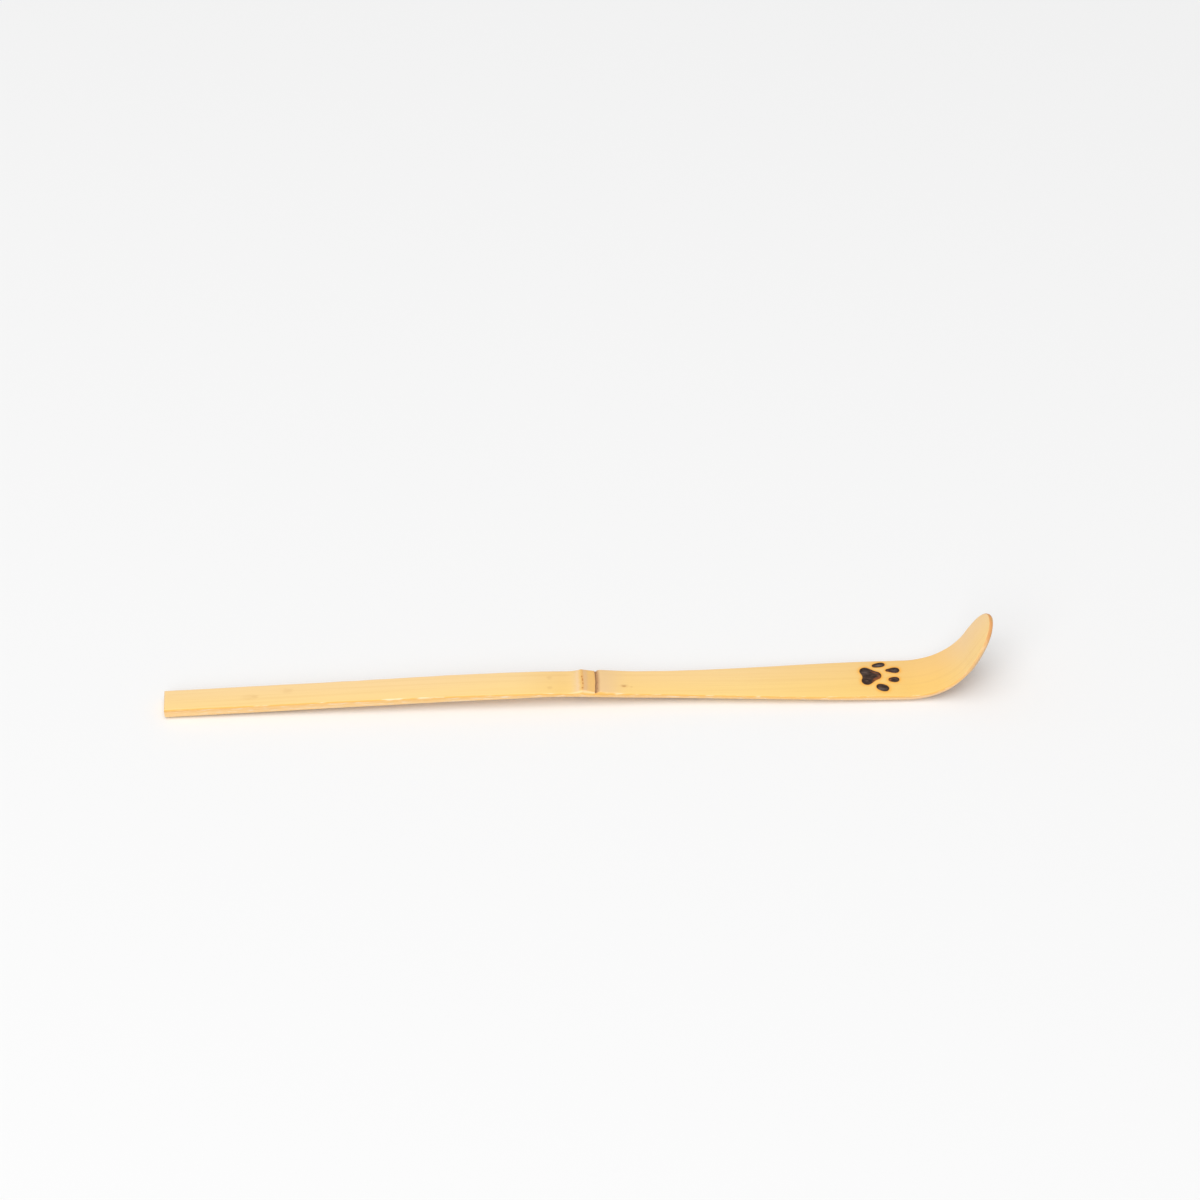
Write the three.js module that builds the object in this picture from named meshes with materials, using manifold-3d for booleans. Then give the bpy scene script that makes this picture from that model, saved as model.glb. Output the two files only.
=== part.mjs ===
// A bamboo tea scoop: one strip split from a culm, skin side up, with the culm's node near the middle,
// a steam-bent bowl at one end and a paw mark burnt into the blade.
// Millimetres, +X from the cut heel to the bowl, +Z up, standing on Z = 0.
import * as THREE from 'three';
import { mergeVertices } from 'three/addons/utils/BufferGeometryUtils.js';
import Module from 'manifold-3d';

// Underside line, seen from the side
const heelAngle = THREE.MathUtils.degToRad(1.5);
const heelReach = 52;
const crestLength = 78;
const crestReach = 17.5;
const archRise = 2.05;
const neckLength = 72;
const neckShoulder = 13;
const neckTail = 35;
const soleLength = 11.75;
const bendRadius = 15.95;
const bendAngle = THREE.MathUtils.degToRad(65.4);
const lipRadius = 300;
const lipAngle = THREE.MathUtils.degToRad(2);

// Widths of the strip, and how the bowl's end is rounded
const heelWidth = 6;
const gripWidth = 6.2;
const gripStation = 38;
const haftWidth = 6.8;
const haftStation = 72;
const neckWidth = 7.2;
const soleWidth = 10.6;
const bowlWidth = 11.2;
const tipRounding = 10.7;
const tipFullness = 2.2;
const tipFlat = 1.6;

// Thickness at the strip's edges, and the pared bevels under them: their height, and how much wider they are
const heelThickness = 2.85;
const nodeThickness = 2.45;
const neckThickness = 2.3;
const soleThickness = 2.21;
const bendThickness = 2.01;
const bowlThickness = 1.7;
const tipThickness = 1.55;
const heelBevel = 0.7;
const gripBevel = 0.85;
const haftBevel = 1.12;
const nodeBevel = 1.47;
const neckBevel = 1.22;
const bladeBevel = 1.42;
const soleBevel = 1.12;
const restBevel = 0.92;
const bendBevel = 0.88;
const bowlBevel = 1.23;
const tipBevel = 0.2;
const bladeReach = 12;
const restAhead = 7;
const bendAhead = 8;
const bladeSpread = 1.5;
const soleSpread = 1.6;
const bowlSpread = 1.2;
const fleshWall = 0.06;

// How far the underside is pared up at both ends
const heelEase = 0.4;
const tipEase = 0.75;

// The culm's round skin, its hard rind and the broken top edges
const culmRadius = 42;
const rindThickness = 0.4;
const edgeEase = 0.2;

// Node: ridge, sheath scar, the lip beyond it, and what is left of the partition wall below
const nodeAhead = 12.65;
const ridgeRise = 4.4;
const ridgeFall = 3.1;
const ridgeHeight = 0.56;
const ridgeParing = 0.45;
const scarWidth = 0.55;
const scarSink = 0.12;
const lipStep = 0.26;
const lipCrest = 0.47;
const lipCrestAhead = 0.7;
const lipFade = 9;
const neckAhead = 12;
const stubLength = 1.8;
const stubDepth = 0.5;
const stubProud = 0.12;
const stubMargin = 0.4;
const seatClearance = 0.05;

// Paw mark: a pad and four toes, measured from the pad's centre towards the bowl. Each outline is a ring
// of arcs, in degrees, joined by smooth sides, and a toe's sweep is how far round its ends the arcs go.
const markBack = 7.75;
const markSide = 0.55;
const charBed = 0.14;
const charSink = 0.05;
const padFront = { radius: 1.2, ahead: 1.15, side: 0, from: -70, to: 70 };
const padFarLobe = { radius: 1.15, ahead: -1.1, side: 1.4, from: 60, to: 206 };
const padNearLobe = { radius: 1.15, ahead: -0.85, side: -1.5, from: 152, to: 300 };
const toes = [
  { ahead: 2, side: 3.3, splay: 12, length: 2.8, front: 0.65, back: 0.52, sweep: 72 },
  { ahead: 4.95, side: 1.55, splay: 0, length: 3, front: 0.82, back: 0.38, sweep: 76 },
  { ahead: 5.05, side: -1.3, splay: 0, length: 2.3, front: 0.7, back: 0.54, sweep: 70 },
  { ahead: 2.4, side: -3.55, splay: -24, length: 2.8, front: 0.8, back: 0.76, sweep: 60 },
];

// Fineness of the faces
const rindFaces = 8;
const gripStep = 7;
const ridgeStep = 0.78;
const neckStep = 2;
const bladeStep = 6;
const bowlStep = 1.9;
const tipSteps = 9;
const markFaces = 4;
const mergeDistance = 1e-4;

const finishes = {
  rind: { color: 0xf2c273, roughness: 0.45 },
  flesh: { color: 0xf0d09a, roughness: 0.7 },
  ridge: { color: 0xe5b468, roughness: 0.5 },
  scar: { color: 0x7d5633, roughness: 0.9 },
  stub: { color: 0xc99b5f, roughness: 0.85 },
  char: { color: 0x2d211e, roughness: 0.35 },
};

// The underside as one smooth line in the X-Z plane
const crest = new THREE.Vector2(crestLength, archRise);
const soleStart = new THREE.Vector2(crestLength + neckLength, 0);
const soleEnd = new THREE.Vector2(soleStart.x + soleLength, 0);
const handleLine = new THREE.CubicBezierCurve(
  new THREE.Vector2(0, 0),
  new THREE.Vector2(heelReach, heelReach * Math.tan(heelAngle)),
  new THREE.Vector2(crest.x - crestReach, crest.y),
  crest,
);
const neckLine = new THREE.CubicBezierCurve(
  crest,
  new THREE.Vector2(crest.x + neckShoulder, crest.y),
  new THREE.Vector2(soleStart.x - neckTail, 0),
  soleStart,
);
const soleLine = new THREE.LineCurve(soleStart, soleEnd);
const bendCentre = new THREE.Vector2(soleEnd.x, bendRadius);
const bendLine = arcLine(bendCentre, bendRadius, 0, bendAngle);
const lipCentre = new THREE.Vector2(-Math.sin(bendAngle), Math.cos(bendAngle))
  .multiplyScalar(lipRadius - bendRadius)
  .add(bendCentre);
const lipLine = arcLine(lipCentre, lipRadius, bendAngle, bendAngle + lipAngle);
const underside = new THREE.CurvePath();
underside.curves.push(handleLine, neckLine, soleLine, bendLine, lipLine);

// Stations along that line
const [crestStation, soleStation, bendStation, , tipStation] = underside.getCurveLengths();
const ridgeStation = crestStation + nodeAhead;
const nodeStation = ridgeStation - ridgeRise;
const scarStation = ridgeStation + ridgeFall;
const bladeStation = scarStation + scarWidth;
const neckStation = scarStation + neckAhead;
const roundStation = tipStation - tipRounding;

// How the section changes along the strip
const widthAt = smoothThrough([
  [0, heelWidth],
  [gripStation, gripWidth],
  [haftStation, haftWidth],
  [neckStation, neckWidth],
  [soleStation, soleWidth],
  [roundStation, bowlWidth],
]);
const thicknessAt = smoothThrough([
  [0, heelThickness],
  [nodeStation, nodeThickness],
  [neckStation, neckThickness],
  [soleStation, soleThickness],
  [bendStation, bendThickness],
  [roundStation, bowlThickness],
  [tipStation, tipThickness],
]);
const pareAt = smoothThrough([
  [0, heelBevel],
  [gripStation, gripBevel],
  [haftStation, haftBevel],
  [nodeStation, nodeBevel],
  [neckStation, neckBevel],
  [soleStation - bladeReach, bladeBevel],
  [soleStation, soleBevel],
  [soleStation + restAhead, restBevel],
  [bendStation + bendAhead, bendBevel],
  [roundStation, bowlBevel],
  [tipStation, tipBevel],
]);
const spreadAt = smoothThrough([
  [0, 1],
  [neckStation, 1],
  [soleStation - bladeReach, bladeSpread],
  [soleStation, soleSpread],
  [bendStation + bendAhead, soleSpread],
  [roundStation, bowlSpread],
]);

// How far the underside is pared up at a station
function liftAt(station) {
  const rounding = (station - roundStation) / tipRounding;
  return Math.max(0, heelEase - station, tipEase * rounding);
}

// The bevel leaves a little flesh showing under the rind
function bevelAt(station) {
  return Math.min(pareAt(station), thicknessAt(station) - rindThickness - fleshWall - liftAt(station));
}

function arcLine(centre, radius, from, to) {
  return new THREE.EllipseCurve(centre.x, centre.y, radius, radius, from - Math.PI / 2, to - Math.PI / 2);
}

// A curve through [station, value] pairs that never overshoots them
function smoothThrough(knots) {
  const grade = knots.slice(1).map(([s, v], i) => (v - knots[i][1]) / (s - knots[i][0]));
  const slope = knots.map((_, i) => {
    const [before, after] = [grade[i - 1] ?? 0, grade[i] ?? 0];
    return before * after > 0 ? (2 * before * after) / (before + after) : 0;
  });
  return (station) => {
    const s = THREE.MathUtils.clamp(station, knots[0][0], knots.at(-1)[0]);
    const i = Math.max(0, knots.findIndex(([end]) => end >= s) - 1);
    const span = knots[i + 1][0] - knots[i][0];
    const t = (s - knots[i][0]) / span;
    const rise = t * t * (3 - 2 * t);
    const bow = t * (1 - t) * span * (slope[i] * (1 - t) - slope[i + 1] * t);
    return knots[i][1] + (knots[i + 1][1] - knots[i][1]) * rise + bow;
  };
}

// Half the strip's width: a superellipse rounds the bowl's end
function halfWidthAt(station) {
  const along = Math.max(0, (station - roundStation) / tipRounding);
  const round = Math.max(0, 1 - along ** tipFullness) ** (1 / tipFullness);
  return Math.max((widthAt(station) / 2) * round, tipFlat / 2);
}

// The ridge rises from the handle, falls to the scar, and a lip beyond it fades into the blade
function nodeSwell(station) {
  const { smoothstep } = THREE.MathUtils;
  if (station <= ridgeStation) return ridgeHeight * smoothstep(station, nodeStation, ridgeStation);
  if (station <= scarStation) return ridgeHeight * smoothstep(-station, -scarStation, -ridgeStation);
  const past = station - bladeStation;
  if (past <= lipCrestAhead) return THREE.MathUtils.lerp(lipStep, lipCrest, past / lipCrestAhead);
  const fade = Math.min(1, (past - lipCrestAhead) / lipFade);
  return lipCrest * (1 - fade) ** 2;
}

// Height of the culm's round skin over the underside
function skinHeight(station, y) {
  const half = halfWidthAt(station);
  const crown = Math.sqrt(culmRadius ** 2 - y ** 2) - Math.sqrt(culmRadius ** 2 - half ** 2);
  return thicknessAt(station) + crown;
}

// The line where rind meets flesh, from the near edge to the far one
function seam(station) {
  const half = halfWidthAt(station);
  return Array.from({ length: rindFaces + 1 }, (_, i) => {
    const y = half * ((2 * i) / rindFaces - 1);
    return new THREE.Vector2(y, skinHeight(station, y) - rindThickness);
  });
}

// Sections run anticlockwise with Y to the right and the strip's own up direction upwards
function skinSection(station, swell) {
  const half = halfWidthAt(station);
  const farEase = edgeEase;
  const nearEase = edgeEase + ridgeParing * Math.max(0, swell / ridgeHeight);
  const top = (y) => skinHeight(station, y) + swell;
  const across = Array.from({ length: rindFaces + 1 }, (_, i) => {
    return THREE.MathUtils.lerp(half - farEase, nearEase - half, i / rindFaces);
  });
  return [
    ...seam(station),
    new THREE.Vector2(half, top(half) - farEase),
    ...across.map((y) => new THREE.Vector2(y, top(y))),
    new THREE.Vector2(-half, top(half) - nearEase),
  ];
}

function rindSection(station) {
  return skinSection(station, nodeSwell(station));
}

function scarSection(station) {
  return skinSection(station, -scarSink);
}

function fleshSection(station) {
  const half = halfWidthAt(station);
  const bevel = bevelAt(station);
  const inset = bevel * spreadAt(station);
  const lift = liftAt(station);
  return [
    new THREE.Vector2(inset - half, lift),
    new THREE.Vector2(half - inset, lift),
    new THREE.Vector2(half, bevel + lift),
    ...seam(station).reverse(),
    new THREE.Vector2(-half, bevel + lift),
  ];
}

// A closed body through the sections at the given stations
function loft(stations, section) {
  const outlines = stations.map((station) => section(station));
  const count = outlines[0].length;
  const positions = stations.flatMap((station, ring) => {
    const foot = underside.getPoint(station / tipStation);
    const along = underside.getTangent(station / tipStation);
    return outlines[ring].flatMap(({ x: y, y: height }) => [
      foot.x - along.y * height,
      y,
      foot.y + along.x * height,
    ]);
  });
  const index = [];
  for (let ring = 0; ring < stations.length - 1; ring++) {
    for (let k = 0; k < count; k++) {
      const next = (k + 1) % count;
      const [a, b] = [ring * count + k, ring * count + next];
      const [c, d] = [a + count, b + count];
      const outwards = outlines[ring][next].x > outlines[ring][k].x;
      index.push(...(outwards ? [a, b, d, a, d, c] : [a, b, c, b, d, c]));
    }
  }
  const last = (stations.length - 1) * count;
  for (const [a, b, c] of THREE.ShapeUtils.triangulateShape(outlines[0], [])) index.push(a, c, b);
  for (const [a, b, c] of THREE.ShapeUtils.triangulateShape(outlines.at(-1), [])) {
    index.push(last + a, last + b, last + c);
  }
  const geometry = new THREE.BufferGeometry();
  geometry.setAttribute('position', new THREE.Float32BufferAttribute(positions, 3));
  geometry.setIndex(index);
  return geometry;
}

function evenly(from, to, step) {
  const steps = Math.ceil((to - from) / step);
  return Array.from({ length: steps + 1 }, (_, i) => THREE.MathUtils.lerp(from, to, i / steps));
}

const wasm = await Module();
wasm.setup();

function solidOf(geometry) {
  const bare = geometry.clone();
  bare.deleteAttribute('normal');
  bare.deleteAttribute('uv');
  const merged = mergeVertices(bare, mergeDistance);
  return new wasm.Manifold(
    new wasm.Mesh({
      numProp: 3,
      vertProperties: merged.getAttribute('position').array,
      triVerts: new Uint32Array(merged.index.array),
    }),
  );
}

function geometryOf(solid) {
  const { vertProperties, triVerts } = solid.getMesh();
  const geometry = new THREE.BufferGeometry();
  geometry.setAttribute('position', new THREE.BufferAttribute(vertProperties, 3));
  geometry.setIndex(new THREE.BufferAttribute(triVerts, 1));
  return geometry;
}

// The partition's stub under the ridge, or with some growth the slot that it sits in
function stubBlock(below, grow) {
  const foot = underside.getPoint(ridgeStation / tipStation);
  const width = 2 * (halfWidthAt(ridgeStation) - bevelAt(ridgeStation) - stubMargin);
  const stub = new THREE.BoxGeometry(stubLength + 2 * grow, width + 2 * grow, stubDepth + below);
  return stub.translate(foot.x, 0, foot.y + (stubDepth - below) / 2);
}

const scoop = new THREE.Group();
scoop.name = 'bamboo_scoop';

function addPiece(name, geometry, finish) {
  const mesh = new THREE.Mesh(geometry, new THREE.MeshStandardMaterial({ ...finish, metalness: 0 }));
  mesh.name = name;
  scoop.add(mesh);
}

// Handle: the internode from the cut heel to the foot of the ridge
const handleStations = [0, ...evenly(heelEase, nodeStation, gripStep)];
addPiece('handle_rind', loft(handleStations, rindSection), finishes.rind);
addPiece('handle_flesh', loft(handleStations, fleshSection), finishes.flesh);

// Node: the ridge over its flesh, the scar that the fallen sheath left, and the partition's stub
const ridgeStations = [
  ...evenly(nodeStation, ridgeStation, ridgeStep),
  ...evenly(ridgeStation, scarStation, ridgeStep).slice(1),
];
const scarStations = [scarStation, bladeStation];
const nodeFlesh = solidOf(loft([...ridgeStations, bladeStation], fleshSection));
const stubSlot = solidOf(stubBlock(stubDepth, seatClearance));
addPiece('node_ridge', loft(ridgeStations, rindSection), finishes.ridge);
addPiece('sheath_scar', loft(scarStations, scarSection), finishes.scar);
addPiece('node_flesh', geometryOf(nodeFlesh.subtract(stubSlot)), finishes.flesh);
addPiece('diaphragm_stub', stubBlock(stubProud, 0), finishes.stub);

// A ring of arcs, run anticlockwise, grown outwards by a clearance
function markOutline(arcs, grow) {
  const shape = new THREE.Shape();
  const turn = (degrees) => {
    const angle = THREE.MathUtils.degToRad(degrees);
    return new THREE.Vector2(Math.cos(angle), Math.sin(angle));
  };
  const point = (arc, degrees) => {
    return turn(degrees).multiplyScalar(arc.radius + grow).add({ x: arc.ahead, y: arc.side });
  };
  arcs.forEach((arc, i) => {
    const next = arcs[(i + 1) % arcs.length];
    const [start, end] = [point(arc, arc.to), point(next, next.from)];
    const pull = start.distanceTo(end) / 3;
    const leave = turn(arc.to + 90).multiplyScalar(pull).add(start);
    const arrive = turn(next.from - 90).multiplyScalar(pull).add(end);
    const [from, to] = [arc.from, arc.to].map(THREE.MathUtils.degToRad);
    shape.absarc(arc.ahead, arc.side, arc.radius + grow, from, to);
    shape.bezierCurveTo(leave.x, leave.y, arrive.x, arrive.y, end.x, end.y);
  });
  return shape;
}

const padArcs = [padFront, padFarLobe, padNearLobe];
const markPieces = [
  { name: 'palm_char', arcs: padArcs, ahead: 0, side: 0, splay: 0 },
  ...toes.map((toe, i) => ({ name: `toe_char_${i + 1}`, arcs: toeArcs(toe), ...toe })),
];

function toeArcs({ length, front, back, sweep }) {
  return [
    { radius: front, ahead: length / 2 - front, side: 0, from: -sweep, to: sweep },
    { radius: back, ahead: back - length / 2, side: 0, from: 180 - sweep, to: 180 + sweep },
  ];
}

// One burnt place, from its floor up to its top
function markBlock({ arcs, ahead, side, splay }, grow, floor, top) {
  const settings = { depth: top - floor, bevelEnabled: false, curveSegments: markFaces };
  const geometry = new THREE.ExtrudeGeometry(markOutline(arcs, grow), settings);
  const turn = THREE.MathUtils.degToRad(splay);
  return geometry.rotateZ(turn).translate(soleEnd.x - markBack + ahead, markSide + side, floor);
}

// Blade: the next internode up to the bend, with the burnt places let into its rind
const bladeStations = [
  bladeStation,
  ...evenly(bladeStation + lipCrestAhead, neckStation, neckStep),
  ...evenly(neckStation, soleStation, bladeStep).slice(1),
  ...evenly(soleStation, bendStation, bladeStep).slice(1),
];
let bladeRind = solidOf(loft(bladeStations, rindSection));
for (const piece of markPieces) {
  const skin = skinHeight(bendStation - markBack + piece.ahead, markSide + piece.side);
  const floor = skin - rindThickness + charBed;
  const recess = markBlock(piece, seatClearance, floor, skin + rindThickness);
  bladeRind = bladeRind.subtract(solidOf(recess));
  addPiece(piece.name, markBlock(piece, 0, floor, skin - charSink), finishes.char);
}
addPiece('blade_rind', geometryOf(bladeRind), finishes.rind);
addPiece('blade_flesh', loft(bladeStations, fleshSection), finishes.flesh);

// Bowl: the steam-bent end, closing in small steps where its end is round
const roundSteps = Array.from({ length: tipSteps + 1 }, (_, i) => {
  return roundStation + tipRounding * Math.sin(((i / tipSteps) * Math.PI) / 2);
});
const bowlStations = [...evenly(bendStation, roundStation, bowlStep), ...roundSteps.slice(1)];
addPiece('bowl_rind', loft(bowlStations, rindSection), finishes.rind);
addPiece('bowl_flesh', loft(bowlStations, fleshSection), finishes.flesh);

// The origin lies under the middle of the whole length
const extent = new THREE.Box3().setFromObject(scoop);
scoop.position.x = -extent.getCenter(new THREE.Vector3()).x;

export default scoop;
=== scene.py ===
# Bamboo tea scoop: the looks of its rind, flesh, node and burnt mark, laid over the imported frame
import math
from functools import lru_cache

import bmesh
import bpy
import numpy as np
from mathutils import Color, Matrix, Vector, geometry, kdtree, noise


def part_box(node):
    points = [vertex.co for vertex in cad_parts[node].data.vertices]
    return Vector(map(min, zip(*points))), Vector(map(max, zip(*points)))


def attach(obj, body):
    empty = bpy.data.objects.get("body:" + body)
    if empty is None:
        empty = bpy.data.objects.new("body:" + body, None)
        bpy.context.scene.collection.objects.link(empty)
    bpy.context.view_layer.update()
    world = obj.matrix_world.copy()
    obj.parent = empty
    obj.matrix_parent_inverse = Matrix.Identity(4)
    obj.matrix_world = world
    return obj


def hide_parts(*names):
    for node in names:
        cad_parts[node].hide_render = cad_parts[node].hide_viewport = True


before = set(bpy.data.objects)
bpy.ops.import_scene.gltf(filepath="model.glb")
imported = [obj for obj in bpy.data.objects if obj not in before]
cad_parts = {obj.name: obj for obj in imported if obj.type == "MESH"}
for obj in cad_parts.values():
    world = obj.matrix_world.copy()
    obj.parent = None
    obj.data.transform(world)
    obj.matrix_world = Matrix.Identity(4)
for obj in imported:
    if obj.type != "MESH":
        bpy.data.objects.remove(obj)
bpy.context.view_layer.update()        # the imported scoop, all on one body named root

mm = 0.001
print("frame:", len(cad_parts), "nodes")

# The strip is shaped straight, in millimetres: station along it from the heel, across it, height over
# its underside. Bending it along this line lays it into the frame.
stripLine = {
    "heelAngle": math.radians(1.5),
    "heelReach": 52.0,
    "crestLength": 78.0,
    "crestReach": 17.5,
    "archRise": 2.05,
    "neckLength": 72.0,
    "neckShoulder": 13.0,
    "neckTail": 35.0,
    "soleLength": 11.75,
    "bendRadius": 15.95,
    "bendAngle": math.radians(65.4),
    "lipRadius": 300.0,
    "lipAngle": math.radians(2.0),
    "pointsPerCurve": 400,
}


def arcPoints(centre, radius, start, end, count):
    angles = np.linspace(start, end, count) - math.pi / 2
    return [centre + radius * Vector((math.cos(a), math.sin(a))) for a in angles]


def undersideCurves():
    line = stripLine
    count = line["pointsPerCurve"]
    heel = Vector((0.0, 0.0))
    heelHandle = line["heelReach"] * Vector((1.0, math.tan(line["heelAngle"])))
    crest = Vector((line["crestLength"], line["archRise"]))
    soleStart = Vector((crest.x + line["neckLength"], 0.0))
    soleEnd = soleStart + Vector((line["soleLength"], 0.0))
    bendCentre = soleEnd + Vector((0.0, line["bendRadius"]))
    outwards = Vector((-math.sin(line["bendAngle"]), math.cos(line["bendAngle"])))
    lipCentre = bendCentre + (line["lipRadius"] - line["bendRadius"]) * outwards
    lipEnd = line["bendAngle"] + line["lipAngle"]
    return [
        geometry.interpolate_bezier(heel, heelHandle, crest - Vector((line["crestReach"], 0)), crest, count),
        geometry.interpolate_bezier(crest, crest + Vector((line["neckShoulder"], 0)),
                                    soleStart - Vector((line["neckTail"], 0)), soleStart, count),
        [soleStart, soleEnd],
        arcPoints(bendCentre, line["bendRadius"], 0.0, line["bendAngle"], count),
        arcPoints(lipCentre, line["lipRadius"], line["bendAngle"], lipEnd, count),
    ]


def joinCurves(curves):
    joined = [curves[0][0]]
    ends = []
    for curve in curves:
        joined += curve[1:]
        ends.append(len(joined) - 1)
    points = np.array([point[:] for point in joined])
    steps = np.diff(points, axis=0)
    stations = np.concatenate([[0.0], np.cumsum(np.hypot(steps[:, 0], steps[:, 1]))])
    return points, steps, stations, stations[ends]


linePoints, lineSteps, lineStations, curveEnds = joinCurves(undersideCurves())
lineAngles = np.arctan2(lineSteps[:, 1], lineSteps[:, 0])
lineMiddles = (lineStations[1:] + lineStations[:-1]) / 2
crestStation, soleStation, bendStation, _, tipStation = (float(end) for end in curveEnds)
bendStart = stripLine["crestLength"] + stripLine["neckLength"] + stripLine["soleLength"]
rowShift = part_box("blade_flesh")[1].x / mm - bendStart  # the blade ends where the bend starts


def bendStrip(station, across, height):
    angle = float(np.interp(station, lineMiddles, lineAngles))
    x = float(np.interp(station, lineStations, linePoints[:, 0])) - math.sin(angle) * height + rowShift
    z = float(np.interp(station, lineStations, linePoints[:, 1])) + math.cos(angle) * height
    return Vector((x, across, z)) * mm


# Node places along the strip, and the swelling there. A grain is the size of an unevenness.
node = {
    "ahead": 12.65,  # ridge beyond the crest of the arch
    "rise": 4.4,
    "fall": 3.1,
    "height": 0.54,
    "riseRun": 3.4,  # the part of the rise that shows
    "riseShape": 1.9,
    "rest": 0.16,  # what is left of the ridge at the scar
    "fallPast": 0.4,  # the fall would level out this far past the scar
    "crestSharp": 0.07,
    "crestWidth": 0.45,
    "crestUneven": 0.5,
    "crestGrain": 0.8,
    "bandStart": (0.5, 1.2),  # where the rough band beyond the crest sets in
    "bandFade": 0.3,  # and how far before the scar it fades
    "bandRough": 0.03,
    "bandGrain": (0.35, 0.6),
    "scarWidth": 0.55,
    "scarSink": 0.06,
    "corkRough": 0.06,
    "corkGrain": (0.16, 0.3),
    "lipStep": 0.26,
    "lipCrest": 0.47,
    "lipCrestAhead": 0.7,
    "lipFade": 9.0,
    "neckAhead": 12.0,
    "nearParing": 0.4,
    "paringAhead": 1.0,
    "paringReach": 2.4,
    "bow": 0.2,  # the scar bows towards the bowl between the edges
    "lean": 0.08,  # and its near end lies further back
    "stray": -0.12,
    "wobble": 0.05,
    "wobbleReach": 2.4,
    "wobbleGrain": 1.3,
}
ridgeStation = crestStation + node["ahead"]
nodeStation = ridgeStation - node["rise"]
scarStation = ridgeStation + node["fall"]
bladeStation = scarStation + node["scarWidth"]
neckStation = scarStation + node["neckAhead"]

# The strip's section, by station
strip = {
    "grip": 38.0,  # places along the handle where its section is set
    "haft": 72.0,
    "tipRounding": 10.7,
    "tipFullness": 2.2,
    "tipFlat": 1.6,
    "culmRadius": 42.0,
    "rindThickness": 0.4,
    "bladeReach": 12.0,  # where the blade is pared most, before the sole
    "restAhead": 7.0,  # and least, on the sole and in the bend
    "bendAhead": 8.0,
    "edgeEase": 0.2,
    "easeShape": 1.6,  # 1 is a flat chamfer, more is rounder
    "easeUneven": 0.35,
    "easeGrain": 4.0,
    "heelCrisp": 2.0,  # at the heel the easing reaches this many times less far
    "cutReach": 1.15,  # the cut's colour reaches this many easings in from an edge
    "fleshWall": 0.06,
    "heelEase": 0.4,
    "tipEase": 0.75,
    "edgeWander": 0.05,  # hand-cut edges
    "wanderLength": 13.0,
    "trueRun": 6.0,  # from the heel to where they wander fully
    "skinWave": 0.014,
    "waveGrain": (30.0, 1.1),
    "seamStep": 0.05,  # a short step beside a joint keeps the shading even across it
}
roundStation = tipStation - strip["tipRounding"]
gripStation = strip["grip"]
haftStation = strip["haft"]
pareStation = soleStation - strip["bladeReach"]
restStation = soleStation + strip["restAhead"]
curlStation = bendStation + strip["bendAhead"]
widthKnots = [(0, 6.0), (gripStation, 6.2), (haftStation, 6.8), (neckStation, 7.2), (soleStation, 10.6),
              (roundStation, 11.2)]
thicknessKnots = [(0, 2.85), (nodeStation, 2.45), (neckStation, 2.3), (soleStation, 2.21),
                  (bendStation, 2.01), (roundStation, 1.7), (tipStation, 1.55)]
bevelKnots = [(0, 0.7), (gripStation, 0.85), (haftStation, 1.12), (nodeStation, 1.47), (neckStation, 1.22),
              (pareStation, 1.42), (soleStation, 1.12), (restStation, 0.92), (curlStation, 0.88),
              (roundStation, 1.23), (tipStation, 0.2)]
spreadKnots = [(0, 1.0), (neckStation, 1.0), (pareStation, 1.5), (soleStation, 1.6), (curlStation, 1.6),
               (roundStation, 1.2)]


def smoothThrough(knots):
    # a curve through the knots that never overshoots them
    stations = [knot[0] for knot in knots]
    values = [knot[1] for knot in knots]
    grades = [(v1 - v0) / (s1 - s0) for (s0, v0), (s1, v1) in zip(knots, knots[1:])]
    slopes = [0.0]
    for before, after in zip(grades, grades[1:]):
        slopes.append(2 * before * after / (before + after) if before * after > 0 else 0.0)
    slopes.append(0.0)

    def value(station):
        s = min(max(station, stations[0]), stations[-1])
        i = max(0, int(np.searchsorted(stations, s)) - 1)
        run = stations[i + 1] - stations[i]
        t = (s - stations[i]) / run
        rise = t * t * (3 - 2 * t)
        bow = t * (1 - t) * run * (slopes[i] * (1 - t) - slopes[i + 1] * t)
        return values[i] + (values[i + 1] - values[i]) * rise + bow

    return lru_cache(maxsize=None)(value)


widthAt = smoothThrough(widthKnots)
thicknessAt = smoothThrough(thicknessKnots)
pareAt = smoothThrough(bevelKnots)
spreadAt = smoothThrough(spreadKnots)


def clamp(value, low=0.0, high=1.0):
    return min(max(value, low), high)


def smoothStep(value, low, high):
    t = clamp((value - low) / (high - low))
    return t * t * (3 - 2 * t)


# Each unevenness reads its own line or layer of the noise, so that no two follow each other
noiseLines = {
    "farEdge": (5.3, 0.7),
    "nearEdge": (-5.3, 0.7),
    "crest": (2.1, 0.0),
    "wobble": (8.4, 1.0),
    "nearEase": (3.0, 0.0),
    "farEase": (9.0, 0.0),
}
noiseLayers = {"knife": 2.0, "lump": 3.0, "band": 4.0, "cork": 5.0, "halo": 6.0, "skin": 7.0}


def lineNoise(kind, along, grain):
    return noise.noise(Vector((along / grain, *noiseLines[kind])))


def layerNoise(kind, station, y, grain):
    return noise.noise(Vector((station / grain[0], y / grain[1], noiseLayers[kind])))


def liftAt(station):
    # the underside is eased up at the heel and pared up towards the tip
    heel = strip["heelEase"]
    if station < heel:
        return heel * (1 - math.sqrt(1 - (1 - station / heel) ** 2))
    return strip["tipEase"] * max(0.0, (station - roundStation) / strip["tipRounding"])


def bevelAt(station):
    most = thicknessAt(station) - strip["rindThickness"] - strip["fleshWall"] - liftAt(station)
    return min(pareAt(station), most)


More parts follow.
